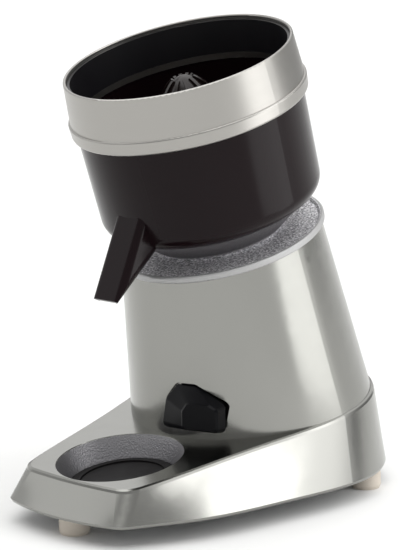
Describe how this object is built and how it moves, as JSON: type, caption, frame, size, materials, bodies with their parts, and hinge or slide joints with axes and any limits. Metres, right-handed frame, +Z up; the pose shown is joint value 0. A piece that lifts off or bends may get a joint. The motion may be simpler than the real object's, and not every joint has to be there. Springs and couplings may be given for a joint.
{
  "type": "electric citrus juicer",
  "caption": "Bar citrus juicer: tilted polished motor body on a sloping base with a glass recess, black spouted bowl, ribbed reamer, strainer and lift-off splash ring.",
  "frame": {"origin": "centre of the footprint on the table plane, under the feet", "axes": "+Z up, -Y to the front where the spout and the glass recess are, +X to the right seen from the front"},
  "size_m": [0.21, 0.302, 0.35],
  "materials": {
    "polished_aluminium": "polished",
    "sand_cast_aluminium": "fine sand texture",
    "satin_steel": "satin",
    "plated_steel": "zinc plated",
    "lamination_steel": "varnished",
    "copper_wire": "enamelled",
    "brass": "machined",
    "black_gloss_plastic": "gloss",
    "black_plastic": "matte",
    "black_rubber": "matte",
    "pale_rubber": "matte",
    "white_plastic": "matte",
    "capacitor_can": "drawn"
  },
  "bodies": {
    "housing": {"housing": "polished_aluminium", "top_flange": "sand_cast_aluminium", "flange_screws": "plated_steel", "shaft_seal": "black_rubber", "base_plate": "plated_steel", "base_plate_screws": "plated_steel", "foot_front": "pale_rubber", "foot_rear_left": "pale_rubber", "foot_rear_right": "pale_rubber", "foot_screws": "plated_steel", "switch_bezel": "black_gloss_plastic", "switch_block": "white_plastic", "cord_gland": "black_plastic", "gland_nut": "black_plastic", "motor_top_shield": "sand_cast_aluminium", "motor_low_shield": "sand_cast_aluminium", "tie_bolts": "plated_steel", "stator_core": "lamination_steel", "stator_windings": "copper_wire", "top_bearing_outer": "plated_steel", "low_bearing_outer": "plated_steel", "run_capacitor": "capacitor_can", "capacitor_clip": "plated_steel", "terminal_block": "white_plastic"},
    "spindle": {"motor_shaft": "plated_steel", "rotor_core": "lamination_steel", "rotor_end_rings": "capacitor_can", "top_bearing_inner": "plated_steel", "low_bearing_inner": "plated_steel", "water_flinger": "black_rubber", "cooling_fan": "black_plastic", "fan_circlip": "plated_steel"},
    "reamer": {"reamer": "black_plastic", "reamer_bush": "brass"},
    "bowl": {"juice_bowl": "black_gloss_plastic", "bowl_seal": "black_rubber"},
    "strainer": {"strainer": "satin_steel"},
    "ring": {"splash_ring": "satin_steel", "ring_liner": "black_plastic"},
    "mat": {"drip_mat": "black_rubber"},
    "paddle": {"switch_paddle": "black_gloss_plastic", "switch_pin": "plated_steel"},
    "plunger": {"switch_plunger": "white_plastic"}
  },
  "joints": [
    {"name": "spindle_spin", "type": "hinge", "parent": "housing", "child": "spindle", "pos_m": [0, 0.021, 0.194], "axis": [0, -0.2924, 0.9563], "continuous": true},
    {"name": "reamer_lift", "type": "slide", "parent": "spindle", "child": "reamer", "axis": [0, -0.2924, 0.9563], "range_m": [0, 0.12]},
    {"name": "bowl_lift", "type": "slide", "parent": "housing", "child": "bowl", "axis": [0, -0.2924, 0.9563], "range_m": [0, 0.06]},
    {"name": "strainer_lift", "type": "slide", "parent": "bowl", "child": "strainer", "axis": [0, -0.2924, 0.9563], "range_m": [0, 0.03]},
    {"name": "ring_lift", "type": "slide", "parent": "bowl", "child": "ring", "axis": [0, -0.2924, 0.9563], "range_m": [0, 0.06]},
    {"name": "mat_lift", "type": "slide", "parent": "housing", "child": "mat", "axis": [0, -0.1374, 0.9905], "range_m": [0, 0.03]},
    {"name": "switch_rock", "type": "hinge", "parent": "housing", "child": "paddle", "pos_m": [0.02675, -0.0383, 0.082], "axis": [0.9563, 0.2924, 0], "range_deg": [0, 4.5]},
    {"name": "plunger_slide", "type": "slide", "parent": "housing", "child": "plunger", "axis": [-0.2924, 0.9563, 0], "range_m": [0, 0.000785]}
  ],
  "couplings": [
    {"joint": "bowl_lift", "follows": "reamer_lift", "ratio": 0.5},
    {"joint": "strainer_lift", "follows": "reamer_lift", "ratio": 0.25},
    {"joint": "plunger_slide", "follows": "switch_rock", "m_per_rad": 0.01}
  ]
}
